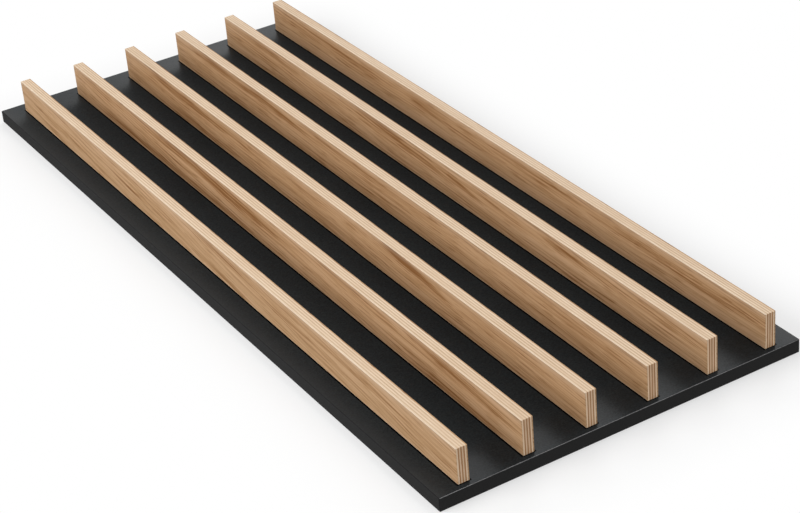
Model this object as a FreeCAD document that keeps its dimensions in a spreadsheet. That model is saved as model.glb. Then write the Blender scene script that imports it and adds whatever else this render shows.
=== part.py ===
import FreeCAD, Part
import os
import Sketcher

# Slatted wall panel: a black board carries a row of plywood slats that stand on edge along it.
# Each slat is glued along its foot and pulled down by countersunk screws from the board's back.
# The panel lies on its back: +Z is out of the wall, +Y runs along the slats, +X across them,
# and the origin is the centre of the board's back face.

# Driving dimensions: millimetres, degrees for angles, plain numbers for counts.
SIZES = (
    ("board_length", "1200"),
    ("board_width", "500"),
    ("board_thickness", "18"),
    ("board_arris", "1"),
    ("slat_count", "6"),
    ("slat_thickness", "15"),
    ("slat_height", "47"),
    ("slat_arris", "0.5"),
    ("side_margin", "30"),
    ("near_reveal", "8"),
    ("far_reveal", "22"),
    ("screw_count", "2"),
    ("screw_end_distance", "250"),
    ("screw_diameter", "3.5"),
    ("screw_bite", "27.5"),
    ("screw_point", "4.5"),
    ("head_diameter", "7"),
    ("head_angle", "90"),
    ("head_recess", "0.5"),
    ("drive_span", "3.6"),
    ("drive_slot", "1"),
    ("drive_depth", "1.2"),
    ("shank_clearance", "0.25"),
    ("seat_clearance", "0.05"),
    ("thread_clearance", "0.05"),
    ("pilot_spare", "1"),
    ("pilot_point_angle", "118"),
)

# Sizes that follow from the driving ones, as expressions on the sheet.
SLAT_LENGTH = "(Sizes.board_length - Sizes.near_reveal - Sizes.far_reveal)"
ROW_WIDTH = "(Sizes.board_width - 2 * Sizes.side_margin - Sizes.slat_thickness)"
SLAT_PITCH = f"({ROW_WIDTH} / (Sizes.slat_count - 1))"
SLAT_START = "(Sizes.board_length / 2 - Sizes.near_reveal)"
SCREW_ROW = f"({SLAT_LENGTH} - 2 * Sizes.screw_end_distance)"
SCREW_START = f"({SLAT_START} - Sizes.screw_end_distance)"
SCREW_LENGTH = "(Sizes.board_thickness - Sizes.head_recess + Sizes.screw_bite)"
HEAD_SPREAD = "tan(Sizes.head_angle / 2)"
HEAD_HEIGHT = f"((Sizes.head_diameter - Sizes.screw_diameter) / 2 / {HEAD_SPREAD})"
SINK_DIAMETER = f"(Sizes.head_diameter + 2 * Sizes.head_recess * {HEAD_SPREAD} + 2 * Sizes.seat_clearance)"
CLEARANCE_HOLE = "(Sizes.screw_diameter + 2 * Sizes.shank_clearance)"
PILOT_HOLE = "(Sizes.screw_diameter + 2 * Sizes.thread_clearance)"
PILOT_DEPTH = "(Sizes.screw_bite + Sizes.pilot_spare)"

# Sketcher numbers: an element's ends and centre, and the element whose start is the origin.
START, END, CENTRE = 1, 2, 3
ORIGIN = -1

doc = FreeCAD.newDocument("slat_panel")


def make_sheet():
    """Write the driving dimensions to the sheet, each under its own alias."""
    sheet = doc.addObject("Spreadsheet::Sheet", "Sizes")
    for row, (alias, value) in enumerate(SIZES, start=1):
        sheet.set(f"A{row}", alias)
        sheet.set(f"B{row}", value)
        sheet.setAlias(f"B{row}", alias)
    doc.recompute()
    return sheet


def make_body(label, across, along, up):
    """Start a sub-part whose own origin lies at the three placement expressions."""
    body = doc.addObject("PartDesign::Body", label)
    body.Label = label
    body.setExpression(".Placement.Base.x", across)
    body.setExpression(".Placement.Base.y", along)
    body.setExpression(".Placement.Base.z", up)
    return body


def origin_feature(body, role):
    """Find one of the body's own origin planes or axes."""
    return next(feature for feature in body.Origin.OriginFeatures if feature.Role == role)


def make_sketch(body, name, plane):
    """Start a sketch on one of the body's origin planes."""
    sketch = body.newObject("Sketcher::SketchObject", name)
    sketch.AttachmentSupport = [(origin_feature(body, plane), "")]
    sketch.MapMode = "FlatFace"
    return sketch


def constrain(sketch, kind, *elements):
    """Add a constraint that carries no size."""
    sketch.addConstraint(Sketcher.Constraint(kind, *elements))


def dimension(sketch, name, kind, elements, start_value, expression):
    """Add a named size to a sketch and bind it to the sheet."""
    index = sketch.addConstraint(Sketcher.Constraint(kind, *elements, start_value))
    sketch.renameConstraint(index, name)
    sketch.setExpression(f"Constraints.{name}", expression)


def draw_closed(sketch, corners):
    """Draw straight sides through the corners and join them end to end."""
    points = [FreeCAD.Vector(across, up, 0) for across, up in corners]
    for side, point in enumerate(points):
        following = (side + 1) % len(points)
        sketch.addGeometry(Part.LineSegment(point, points[following]))
    for side in range(len(points)):
        constrain(sketch, "Coincident", side, END, (side + 1) % len(points), START)


def draw_rectangle(sketch, width, height):
    """Draw a rectangle of two expressions' size, square to the sketch's axes."""
    draw_closed(sketch, [(-1, -1), (1, -1), (1, 1), (-1, 1)])
    for side in (0, 2):
        constrain(sketch, "Horizontal", side)
        constrain(sketch, "Vertical", side + 1)
    dimension(sketch, "width", "DistanceX", (0, START, 0, END), 2, width)
    dimension(sketch, "height", "DistanceY", (1, START, 1, END), 2, height)


def centre_rectangle(sketch):
    """Hold a rectangle's opposite corners even about the sketch's origin."""
    constrain(sketch, "Symmetric", 0, START, 1, END, ORIGIN, START)


def draw_hole_centre(sketch, diameter, from_left, from_below):
    """Draw the circle that marks a hole, its centre that far before the sketch's origin."""
    sketch.addGeometry(Part.Circle(FreeCAD.Vector(-1, -1, 0), FreeCAD.Vector(0, 0, 1), 1))
    dimension(sketch, "diameter", "Diameter", (0,), 2, diameter)
    dimension(sketch, "from_left", "DistanceX", (0, CENTRE, ORIGIN, START), 1, from_left)
    dimension(sketch, "from_below", "DistanceY", (0, CENTRE, ORIGIN, START), 1, from_below)


def pad(body, name, sketch, length, backwards):
    """Extrude a sketch by the length expression."""
    feature = body.newObject("PartDesign::Pad", name)
    feature.Profile = sketch
    feature.Reversed = backwards
    feature.setExpression("Length", length)
    return feature


def ease_edges(body, name, base, size):
    """Take the sharp arris off every edge of the base feature."""
    doc.recompute()
    feature = body.newObject("PartDesign::Chamfer", name)
    feature.Base = (base, ["Edge1"])
    feature.UseAllEdges = True
    feature.setExpression("Size", size)
    return feature


def drill(body, name, sketch, diameter):
    """Drill plain holes upward from the sketch's circles."""
    doc.recompute()
    feature = body.newObject("PartDesign::Hole", name)
    feature.Profile = sketch
    feature.Reversed = True
    feature.setExpression("Diameter", diameter)
    return feature


def repeat(body, name, feature, across=None, along=None):
    """Repeat a feature over (count, length) rows across the panel, along it or both."""
    pattern = body.newObject("PartDesign::LinearPattern", name)
    pattern.Originals = [feature]
    rows = [(axis, row) for axis, row in (("X_Axis", across), ("Y_Axis", along)) if row]
    for suffix, (axis, (count, length)) in zip(("", "2"), rows):
        setattr(pattern, f"Direction{suffix}", (origin_feature(body, axis), [""]))
        pattern.setExpression(f"Occurrences{suffix}", count)
        pattern.setExpression(f"Length{suffix}", length)
    body.Tip = pattern
    return pattern


def make_board():
    """The black board: a slab with eased edges and countersunk screw holes from its back."""
    board = make_body("backing_board", "0", "0", "0")
    outline = make_sketch(board, "board_outline", "XY_Plane")
    draw_rectangle(outline, "Sizes.board_width", "Sizes.board_length")
    centre_rectangle(outline)
    slab = pad(board, "board_slab", outline, "Sizes.board_thickness", False)
    ease_edges(board, "board_edges", slab, "Sizes.board_arris")

    mark = make_sketch(board, "board_hole_mark", "XY_Plane")
    draw_hole_centre(mark, CLEARANCE_HOLE, f"{ROW_WIDTH} / 2", SCREW_START)
    hole = drill(board, "board_hole", mark, CLEARANCE_HOLE)
    hole.DepthType = "ThroughAll"
    hole.HoleCutType = "Countersink"
    hole.HoleCutCustomValues = True
    hole.setExpression("HoleCutDiameter", SINK_DIAMETER)
    hole.setExpression("HoleCutCountersinkAngle", "Sizes.head_angle")
    repeat(board, "board_holes", hole, ("Sizes.slat_count", ROW_WIDTH), ("Sizes.screw_count", SCREW_ROW))
    return board


def make_slat(place):
    """One slat on edge, its section run along the panel, with pilot holes up into its foot."""
    across = f"{place} * {SLAT_PITCH} - {ROW_WIDTH} / 2"
    slat = make_body(f"slat_{place + 1}", across, f"-{SLAT_START}", "Sizes.board_thickness")
    section = make_sketch(slat, f"slat_section_{place + 1}", "XZ_Plane")
    draw_rectangle(section, "Sizes.slat_thickness", "Sizes.slat_height")
    constrain(section, "Symmetric", 0, START, 0, END, ORIGIN, START)
    strip = pad(slat, f"slat_strip_{place + 1}", section, SLAT_LENGTH, True)
    ease_edges(slat, f"slat_edges_{place + 1}", strip, "Sizes.slat_arris")

    mark = make_sketch(slat, f"slat_hole_mark_{place + 1}", "XY_Plane")
    draw_hole_centre(mark, PILOT_HOLE, "0", "-Sizes.screw_end_distance")
    hole = drill(slat, f"slat_hole_{place + 1}", mark, PILOT_HOLE)
    hole.DepthType = "Dimension"
    hole.DrillPoint = "Angled"
    hole.setExpression("Depth", PILOT_DEPTH)
    hole.setExpression("DrillPointAngle", "Sizes.pilot_point_angle")
    repeat(slat, f"slat_holes_{place + 1}", hole, along=("Sizes.screw_count", SCREW_ROW))
    return slat


def cut_drive_slot(body, name, width, height):
    """Cut one arm of the cross drive into the screw's head."""
    outline = make_sketch(body, f"{name}_outline", "XY_Plane")
    draw_rectangle(outline, width, height)
    centre_rectangle(outline)
    slot = body.newObject("PartDesign::Pocket", name)
    slot.Profile = outline
    slot.Reversed = True
    slot.setExpression("Length", "Sizes.drive_depth")
    return slot


def make_screws():
    """Countersunk wood screws, head down, one under each pilot hole."""
    screws = make_body("slat_screws", f"-{ROW_WIDTH} / 2", f"-{SCREW_START}", "Sizes.head_recess")
    profile = make_sketch(screws, "screw_profile", "XZ_Plane")
    draw_closed(profile, [(0, 0), (4, 0), (2, 2), (2, 40), (0, 45)])
    constrain(profile, "Coincident", 0, START, ORIGIN, START)
    constrain(profile, "Horizontal", 0)
    constrain(profile, "Vertical", 2)
    constrain(profile, "Vertical", 4)
    dimension(profile, "head_radius", "DistanceX", (0, START, 0, END), 4, "Sizes.head_diameter / 2")
    dimension(profile, "shank_radius", "DistanceX", (ORIGIN, START, 1, END), 2, "Sizes.screw_diameter / 2")
    dimension(profile, "head_height", "DistanceY", (1, START, 1, END), 2, HEAD_HEIGHT)
    dimension(profile, "point_length", "DistanceY", (3, START, 3, END), 5, "Sizes.screw_point")
    dimension(profile, "full_length", "DistanceY", (ORIGIN, START, 3, END), 45, SCREW_LENGTH)
    turned = screws.newObject("PartDesign::Revolution", "screw_turned")
    turned.Profile = profile
    turned.ReferenceAxis = (profile, ["V_Axis"])
    turned.Angle = 360
    cut_drive_slot(screws, "drive_slot_across", "Sizes.drive_span", "Sizes.drive_slot")
    last_cut = cut_drive_slot(screws, "drive_slot_along", "Sizes.drive_slot", "Sizes.drive_span")
    doc.recompute()
    rows = repeat(
        screws, "screw_rows", last_cut, ("Sizes.slat_count", ROW_WIDTH), ("Sizes.screw_count", SCREW_ROW)
    )
    rows.TransformMode = "Whole shape"
    return screws


def check(parts):
    """Stop if any object failed to build or any sub-part has no sound solid."""
    failed = [item.Label for item in doc.Objects if {"Invalid", "Error"} & set(item.State)]
    unsound = [part.Label for part in parts if part.Shape.isNull() or not part.Shape.isValid()]
    if failed or unsound:
        raise RuntimeError(f"failed objects {failed}, unsound sub-parts {unsound}")


sizes = make_sheet()
slats = [make_slat(place) for place in range(int(sizes.slat_count))]
parts = [make_board(), *slats, make_screws()]
doc.recompute()
check(parts)
os.makedirs("parts", exist_ok=True)
for part in parts:
    part.Shape.exportStep(f"parts/{part.Label}.step")
    print(f"{part.Label}: {len(part.Shape.Solids)} solids, {part.Shape.Volume:.0f} cubic mm")
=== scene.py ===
"""Looks of the acoustic slat wall panel: six oak-faced plywood slats standing on a black board."""

import logging
import math
from dataclasses import dataclass, field
from enum import Enum
from typing import Callable, Sequence, Union

import bpy
from mathutils import Matrix, Vector


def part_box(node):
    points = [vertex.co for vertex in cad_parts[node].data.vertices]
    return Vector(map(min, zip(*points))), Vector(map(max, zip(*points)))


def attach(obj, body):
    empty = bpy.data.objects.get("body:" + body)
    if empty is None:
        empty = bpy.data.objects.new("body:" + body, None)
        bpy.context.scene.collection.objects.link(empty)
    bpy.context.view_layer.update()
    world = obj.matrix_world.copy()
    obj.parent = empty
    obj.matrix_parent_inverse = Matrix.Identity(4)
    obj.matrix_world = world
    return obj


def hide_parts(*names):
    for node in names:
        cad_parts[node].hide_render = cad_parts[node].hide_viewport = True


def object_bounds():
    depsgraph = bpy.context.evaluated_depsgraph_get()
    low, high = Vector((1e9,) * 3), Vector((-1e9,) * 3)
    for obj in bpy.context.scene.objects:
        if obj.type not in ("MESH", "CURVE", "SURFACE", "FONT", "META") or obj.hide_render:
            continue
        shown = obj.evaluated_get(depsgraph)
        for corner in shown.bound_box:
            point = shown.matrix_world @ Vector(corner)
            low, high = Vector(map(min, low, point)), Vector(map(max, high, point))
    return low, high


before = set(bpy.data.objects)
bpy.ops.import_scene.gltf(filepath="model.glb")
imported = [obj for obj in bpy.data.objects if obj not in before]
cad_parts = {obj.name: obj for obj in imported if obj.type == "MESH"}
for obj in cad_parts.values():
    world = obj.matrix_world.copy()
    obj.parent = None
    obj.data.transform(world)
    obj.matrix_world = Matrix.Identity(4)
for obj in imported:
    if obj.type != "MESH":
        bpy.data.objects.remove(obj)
CAD_LOW, CAD_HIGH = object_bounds()

LOG = logging.getLogger("slat_panel")
BODY = "root"

# Average of a noise, and the levels that hold nearly all of it.
NOISE_MIDDLE = 0.5
NOISE_LOW = 0.3
NOISE_HIGH = 0.7

# Colour sockets of a mix node: its two inputs and its output.
MIX_FIRST = 6
MIX_SECOND = 7
MIX_RESULT = 2

# Edges sharper than this stay sharp, in degrees.
SHARP_ANGLE = 40.0

# Watts to the square metre that give a soft light a radiance of 1.
SOFT_LIGHT_WATTS = 4.0

Colour = tuple[float, float, float, float]
Point = tuple[float, float, float]
Socket = bpy.types.NodeSocket
Value = Union[float, Socket]
Corners = tuple[Vector, Vector]
ToolStep = tuple[float, float]
FaceTest = Callable[[bpy.types.MeshPolygon], bool]
FaceSort = Callable[[bpy.types.MeshPolygon], Enum]

ZERO: Point = (0.0, 0.0, 0.0)
WHITE: Colour = (1.0, 1.0, 1.0, 1.0)
ACROSS = Vector((1.0, 0.0, 0.0))
ALONG = Vector((0.0, 1.0, 0.0))


class Slot(str, Enum):
    """Names of the record's material slots, one for the board and one for the slats."""

    BOARD = "black_board"
    SLAT = "oak_plywood"


class SlatFace(Enum):
    """What a face of a slat shows, in the order of the slat's material slots."""

    OAK = 0
    PALE_PLY = 1
    TAN_PLY = 2
    PALE_PLY_END = 3
    TAN_PLY_END = 4
    OUTER_PLY_END = 5


class BoardFace(Enum):
    """What a face of the board shows, in the order of the board's material slots."""

    FACING = 0
    ARRIS = 1
    EDGE = 2
    # Painted highlight on the crown of the end arrises.
    RUBBED_ARRIS = 3
    # Painted contact shadow round the slats' feet.
    JOINT = 4
    BACK = 5


def tone(red: float, green: float, blue: float) -> Colour:
    """Turn a colour as a screen shows it, on the sRGB curve, into the linear one that a shader takes.

    Args:
        red: Red on the screen, 0 to 255.
        green: Green on the screen, 0 to 255.
        blue: Blue on the screen, 0 to 255.

    Returns:
        Linear red, green, blue and an opacity of 1.
    """
    linear = []
    for level in (red / 255.0, green / 255.0, blue / 255.0):
        linear.append(level / 12.92 if level <= 0.04045 else ((level + 0.055) / 1.055) ** 2.4)
    return linear[0], linear[1], linear[2], 1.0


class NodeGraph:
    """A node tree, with a short method for each kind of node the finishes use."""

    def __init__(self, tree: bpy.types.NodeTree) -> None:
        """Work on the tree of a material or of the world."""
        self.tree = tree

    def add(self, kind: str, **settings: object) -> bpy.types.Node:
        """Add a node.

        Args:
            kind: Blender's name for the node type.
            **settings: Properties to set on it.

        Returns:
            The new node.
        """
        node = self.tree.nodes.new(kind)
        for key, value in settings.items():
            setattr(node, key, value)
        return node

    def feed(self, socket: Socket, value: Union[Value, Colour]) -> None:
        """Link a socket to another, or set it.

        Args:
            socket: Socket to feed.
            value: Socket to link it to, or the number or colour to set.
        """
        if isinstance(value, Socket):
            self.tree.links.new(value, socket)
        else:
            socket.default_value = value

    def place(self, origin: Point = ZERO, turn: Point = ZERO, size: Point = (1.0, 1.0, 1.0)) -> Socket:
        """Give object coordinates about an origin of the pattern's own.

        Args:
            origin: Where the pattern's origin lies, in metres.
            turn: Angles that turn the pattern, in degrees.
            size: Size of the pattern along each of its axes, in metres.

        Returns:
            The coordinates, in the pattern's sizes.
        """
        source = self.add("ShaderNodeTexCoord")
        mapping = self.add("ShaderNodeMapping", vector_type="TEXTURE")
        mapping.inputs["Location"].default_value = origin
        mapping.inputs["Rotation"].default_value = tuple(math.radians(angle) for angle in turn)
        mapping.inputs["Scale"].default_value = size
        self.feed(mapping.inputs["Vector"], source.outputs["Object"])
        return mapping.outputs["Vector"]

    def stretch(self, vector: Socket, scale: Point, shift: Point = ZERO) -> Socket:
        """Scale coordinates and then move them.

        Args:
            vector: Coordinates, in metres.
            scale: Factor along each axis, where a small one draws the pattern out.
            shift: How far they move afterwards.

        Returns:
            The new coordinates.
        """
        mapping = self.add("ShaderNodeMapping", vector_type="POINT")
        mapping.inputs["Scale"].default_value = scale
        mapping.inputs["Location"].default_value = shift
        self.feed(mapping.inputs["Vector"], vector)
        return mapping.outputs["Vector"]

    def noise(self, vector: Socket, scale: float, detail: float = 2.0, rough: float = 0.5) -> Socket:
        """Add noise.

        Args:
            vector: Coordinates, in metres.
            scale: Features to the metre.
            detail: Number of finer layers.
            rough: Weight of the finer layers.

        Returns:
            The noise, about NOISE_MIDDLE on average.
        """
        node = self.add("ShaderNodeTexNoise")
        self.feed(node.inputs["Vector"], vector)
        node.inputs["Scale"].default_value = scale
        node.inputs["Detail"].default_value = detail
        node.inputs["Roughness"].default_value = rough
        return node.outputs["Fac"]

    def math(self, operation: str, first: Value, second: Value = 0.0) -> Socket:
        """Do one sum on two numbers.

        Args:
            operation: Blender's name for the sum.
            first: First number.
            second: Second number, which some sums leave out.

        Returns:
            The result.
        """
        node = self.add("ShaderNodeMath", operation=operation)
        self.feed(node.inputs[0], first)
        self.feed(node.inputs[1], second)
        return node.outputs["Value"]

    def total(self, first: Value, *others: Value) -> Value:
        """Add numbers up, one after another.

        Args:
            first: First number.
            *others: Numbers to add to it.

        Returns:
            The total.
        """
        for other in others:
            first = self.math("ADD", first, other)
        return first

    def weigh(self, value: Socket, weight: float, middle: float = NOISE_MIDDLE) -> Socket:
        """Give weight times the distance of a value from its middle."""
        return self.math("MULTIPLY", self.math("SUBTRACT", value, middle), weight)

    def span(self, value: Socket, low: float, high: float, start: float, end: float) -> Socket:
        """Map low..high to start..end with soft ends.

        Args:
            value: Number to map.
            low: Value that gives the start.
            high: Value that gives the end.
            start: Result at low and below.
            end: Result at high and above.

        Returns:
            The mapped number.
        """
        node = self.add("ShaderNodeMapRange", interpolation_type="SMOOTHSTEP")
        self.feed(node.inputs["Value"], value)
        for key, number in (("From Min", low), ("From Max", high), ("To Min", start), ("To Max", end)):
            node.inputs[key].default_value = number
        return node.outputs["Result"]

    def vary(self, noise: Socket, start: float, end: float) -> Socket:
        """Map the usual levels of a noise to start..end."""
        return self.span(noise, NOISE_LOW, NOISE_HIGH, start, end)

    def coordinate(self, vector: Socket, axis: str) -> Socket:
        """Give one coordinate of a point.

        Args:
            vector: The point.
            axis: X, Y or Z.

        Returns:
            The coordinate.
        """
        parts = self.add("ShaderNodeSeparateXYZ")
        self.feed(parts.inputs[0], vector)
        return parts.outputs[axis]

    def reach(self, vector: Socket, axis: str) -> Socket:
        """Give how far a point lies from the middle along one axis."""
        return self.math("ABSOLUTE", self.coordinate(vector, axis))

    def ramp(self, value: Socket, stops: Sequence[tuple[float, Colour]], blend: str = "LINEAR") -> Socket:
        """Turn a number into a colour.

        Args:
            value: Number from 0 to 1.
            stops: Places along the ramp and their colours.
            blend: How the ramp runs between its stops.

        Returns:
            The colour.
        """
        node = self.add("ShaderNodeValToRGB")
        node.color_ramp.interpolation = blend
        elements = node.color_ramp.elements
        while len(elements) < len(stops):
            elements.new(0.5)
        for element, (position, colour) in zip(elements, stops):
            element.position = position
            element.color = colour
        self.feed(node.inputs["Fac"], value)
        return node.outputs["Color"]

    def mix(self, amount: Socket, first: Socket, second: Colour) -> Socket:
        """Blend a colour into another.

        Args:
            amount: Share of the second colour, 0 to 1.
            first: Colour of the surface.
            second: Colour that is blended in.

        Returns:
            The blend.
        """
        node = self.add("ShaderNodeMix", data_type="RGBA")
        self.feed(node.inputs["Factor"], amount)
        self.feed(node.inputs[MIX_FIRST], first)
        self.feed(node.inputs[MIX_SECOND], second)
        return node.outputs[MIX_RESULT]


class MaterialGraph(NodeGraph):
    """The node tree of a new material, with its principled shader."""

    def __init__(self, name: str) -> None:
        """Start the material.

        Args:
            name: Name of the new material.
        """
        self.material = bpy.data.materials.new(name)
        self.material.use_nodes = True
        super().__init__(self.material.node_tree)
        self.shader = self.tree.nodes["Principled BSDF"]

    def finish(self, colour: Socket, roughness: Socket, height: Socket, depth: float,
               **constants: float) -> bpy.types.Material:
        """Wire the shader and hand over the material.

        Args:
            colour: Colour of the surface.
            roughness: Roughness of the surface.
            height: Relief of the surface, 0 to 1.
            depth: Depth of that relief, in metres.
            **constants: Other sockets of the shader, with _ for a space, and their numbers.

        Returns:
            The finished material.
        """
        bump = self.add("ShaderNodeBump")
        bump.inputs["Strength"].default_value = 1.0
        bump.inputs["Distance"].default_value = depth
        self.feed(bump.inputs["Height"], height)
        self.feed(self.shader.inputs["Normal"], bump.outputs["Normal"])
        self.feed(self.shader.inputs["Base Color"], colour)
        self.feed(self.shader.inputs["Roughness"], roughness)
        for key, number in constants.items():
            self.shader.inputs[key.replace("_", " ")].default_value = number
        return self.material


@dataclass(frozen=True)
class GrainLayer:
    """A layer of noise drawn out along the grain.

    Attributes:
        draw: Scale along the grain, where a small one makes long marks.
        count: Marks to the metre across the grain.
        detail: Number of finer layers in the noise.
        rough: Weight of those finer layers.
        rim: Levels of the noise between which a mark sets in, or none to keep the noise as it is.
        ground: Level between such marks, whose own level is 1.
        middle: Level that adds nothing.
        weight: How much a level adds for its distance from the middle.
    """

    draw: float
    count: float
    detail: float = 1.0
    rough: float = 0.5
    rim: tuple[float, ...] = ()
    ground: float = 0.0
    middle: float = NOISE_MIDDLE
    weight: float = 0.0

    def level(self, graph: NodeGraph, grain: Socket) -> Socket:
        """Give the layer's level at each point.

        Args:
            graph: The material's node tree.
            grain: Coordinates whose Y runs with the grain.

        Returns:
            The level, 0 to 1.
        """
        drawn = graph.stretch(grain, (1.0, self.draw, 1.0))
        level = graph.noise(drawn, self.count, self.detail, self.rough)
        if self.rim:
            level = graph.span(level, self.rim[0], self.rim[1], self.ground, 1.0)
        return level

    def share(self, graph: NodeGraph, grain: Socket) -> Socket:
        """Give what the layer adds, by its weight."""
        return graph.weigh(self.level(graph, grain), self.weight, self.middle)


@dataclass(frozen=True)
class HighlightBand:
    """A band of painted highlight along a long edge of a slat.

    Attributes:
        full: How far from the edge it is at its palest, in metres.
        gone: How far from the edge it has faded out, in metres.
        share: Share of the paler colour at its palest.
    """

    full: float
    gone: float
    share: float

    def cover(self, graph: NodeGraph, distance: Socket) -> Socket:
        """Give the share of the paler colour at a distance from the edge."""
        return graph.span(distance, self.full, self.gone, self.share, 0.0)


@dataclass(frozen=True)
class Flame:
    """A tongue of darker wood on an oak leaf.

    Attributes:
        along: Place of its middle along the slat, from the slat's own middle, in metres.
        up: Height of its middle above the slat's own middle, in metres.
        length: Length, in metres.
        height: Height, in metres.
        slope: How it rises or falls along the slat, in degrees.
        weight: How much darker it is, or paler where it is below 0.
        fray: How far its rim breaks up into fibres.
    """

    along: float
    up: float
    length: float
    height: float
    slope: float
    weight: float
    fray: float = 1.3


@dataclass(frozen=True)
class OakFigure:
    """How one slat's oak leaf was cut from the log, which sets the run of its grain.

    Attributes:
        seed: Number that tells the leaf's pattern from the others.
        lean: Slope of the grain along the slat, in degrees.
        heart: Place of the log's heart from the middle of the slat, in metres.
        dive: Angle at which the log passes through the leaf, in degrees.
        ring_weight: How much the growth rings show.
        line_weight: How much the grain lines show.
        shade: Darkness of the plain wood.
        flames: Tongues of darker wood, and on slats 5 and 6 full-length painted shade and light.
    """

    seed: float
    lean: float
    heart: Point
    dive: float
    ring_weight: float
    line_weight: float
    shade: float
    flames: tuple[Flame, ...]


@dataclass(frozen=True)
class OakVeneer:
    """Oiled oak face veneer with grain lines, growth rings, flames, pores and painted arris highlights."""

    figure: OakFigure
    half_height: float
    pale: Colour = tone(208, 170, 132)
    body: Colour = tone(189, 149, 108)
    deep: Colour = tone(144, 99, 58)
    # Colour of the painted highlight on the left face's arrises.
    arris: Colour = tone(243, 226, 205)
    body_level: float = 0.42
    # Run of the grain: the step from one leaf's pattern to the next, a slow sway and a short ripple.
    seed_step: Point = (0.37, 0.61, 0.23)
    sway: GrainLayer = GrainLayer(draw=0.22, count=14.0, weight=0.016)
    ripple: GrainLayer = GrainLayer(draw=0.16, count=60.0, detail=2.0, weight=0.004)
    # Marks of the grain, from long lines to single pores.
    line: GrainLayer = GrainLayer(draw=0.008, count=320.0, detail=4.0, rough=0.62)
    dash: GrainLayer = GrainLayer(draw=0.016, count=500.0, rim=(0.46, 0.57), middle=0.45, weight=0.3)
    band: GrainLayer = GrainLayer(draw=0.05, count=42.0, detail=2.0, weight=0.08)
    fleck: GrainLayer = GrainLayer(draw=0.05, count=480.0, rim=(0.57, 0.64), middle=0.2, weight=0.28)
    pore: GrainLayer = GrainLayer(draw=0.05, count=2300.0, rim=(0.57, 0.72), middle=0.0, weight=0.1)
    # Growth rings: the patches they show in, their gap in metres, and their shade from one to the next.
    patch: GrainLayer = GrainLayer(draw=0.04, count=110.0, rim=(0.36, 0.6), ground=0.15)
    ring_gap: float = 0.0042
    ring_middle: float = 0.3
    ring_shades: tuple[tuple[float, float], ...] = (
        (0.0, 1.0), (0.18, 0.5), (0.4, 0.1), (0.8, 0.25), (1.0, 1.0)
    )
    # Flames: their fibres to the metre, what tells one's fibres from another's, and their outline.
    fibres_along: float = 6.0
    fibres_up: float = 260.0
    fibre_seed: float = 3.1
    fibre_place: float = 40.0
    taper: float = 0.5
    flame_core: float = 0.3
    flame_rim: float = 1.1
    # Painted highlights on the left face: along the top and foot arrises, and paler just below the top.
    top_arris: HighlightBand = HighlightBand(full=0.0003, gone=0.0008, share=0.6)
    top_fade: HighlightBand = HighlightBand(full=0.002, gone=0.009, share=0.13)
    foot_arris: HighlightBand = HighlightBand(full=0.0004, gone=0.0013, share=0.35)
    # Roughness, relief and gloss.
    smooth: float = 0.5
    dull: float = 0.62
    pore_relief: float = 0.6
    line_relief: float = 0.4
    relief: float = 0.0001
    specular: float = 0.16

    def make(self, name: str, centre: Vector) -> bpy.types.Material:
        """Make the veneer of one slat.

        Args:
            name: Name of the material.
            centre: Middle of the slat, in metres.

        Returns:
            The material.
        """
        graph = MaterialGraph(name)
        cut = self.figure
        start = tuple(middle + step * cut.seed for middle, step in zip(centre, self.seed_step))
        grain = self.warped(graph, graph.place(start, (cut.lean, 0.0, 0.0)))
        line = self.line.level(graph, grain)
        pore = self.pore.level(graph, grain)
        dark = graph.total(
            graph.weigh(line, cut.line_weight),
            cut.shade,
            self.dash.share(graph, grain),
            self.band.share(graph, grain),
            self.fleck.share(graph, grain),
            graph.weigh(pore, self.pore.weight, self.pore.middle),
            graph.weigh(self.rings(graph, centre), cut.ring_weight, self.ring_middle),
            *(self.flame(graph, flame, centre) for flame in cut.flames),
        )
        colour = graph.ramp(dark, ((0.0, self.pale), (self.body_level, self.body), (1.0, self.deep)))
        # Painted highlight along the top and foot of the left face.
        colour = graph.mix(self.left_face_highlight(graph, graph.place(tuple(centre))), colour, self.arris)
        roughness = graph.vary(line, self.smooth, self.dull)
        height = graph.total(
            graph.weigh(pore, -self.pore_relief, 1.0), graph.weigh(line, -self.line_relief)
        )
        return graph.finish(colour, roughness, height, self.relief, Specular_IOR_Level=self.specular)

    def warped(self, graph: NodeGraph, spot: Socket) -> Socket:
        """Let the grain rise and fall gently along the slat.

        Args:
            graph: The material's node tree.
            spot: Coordinates that run straight along the slat.

        Returns:
            The coordinates, moved a little up or down.
        """
        rise = graph.total(self.sway.share(graph, spot), self.ripple.share(graph, spot))
        shift = graph.add("ShaderNodeCombineXYZ")
        graph.feed(shift.inputs["Z"], rise)
        moved = graph.add("ShaderNodeVectorMath", operation="ADD")
        graph.feed(moved.inputs[0], spot)
        graph.feed(moved.inputs[1], shift.outputs[0])
        return moved.outputs["Vector"]

    def rings(self, graph: NodeGraph, centre: Vector) -> Socket:
        """Give the growth rings about the heart of the log, which come and go along the slat.

        Args:
            graph: The material's node tree.
            centre: Middle of the slat, in metres.

        Returns:
            Up to 1 on the dark line of a ring and about 0 in its pale wood.
        """
        cut = self.figure
        pith = tuple(middle + offset for middle, offset in zip(centre, cut.heart))
        log = self.warped(graph, graph.place(pith, (cut.lean, 0.0, cut.dive)))
        across = graph.add("ShaderNodeVectorMath", operation="LENGTH")
        graph.feed(across.inputs[0], graph.stretch(log, (1.0, 0.0, 1.0)))
        phase = graph.math("FRACT", graph.math("DIVIDE", across.outputs["Value"], self.ring_gap))
        shades = [(place, (level, level, level, 1.0)) for place, level in self.ring_shades]
        ring = graph.ramp(phase, shades, "EASE")
        return graph.math("MULTIPLY", ring, self.patch.level(graph, log))

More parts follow.
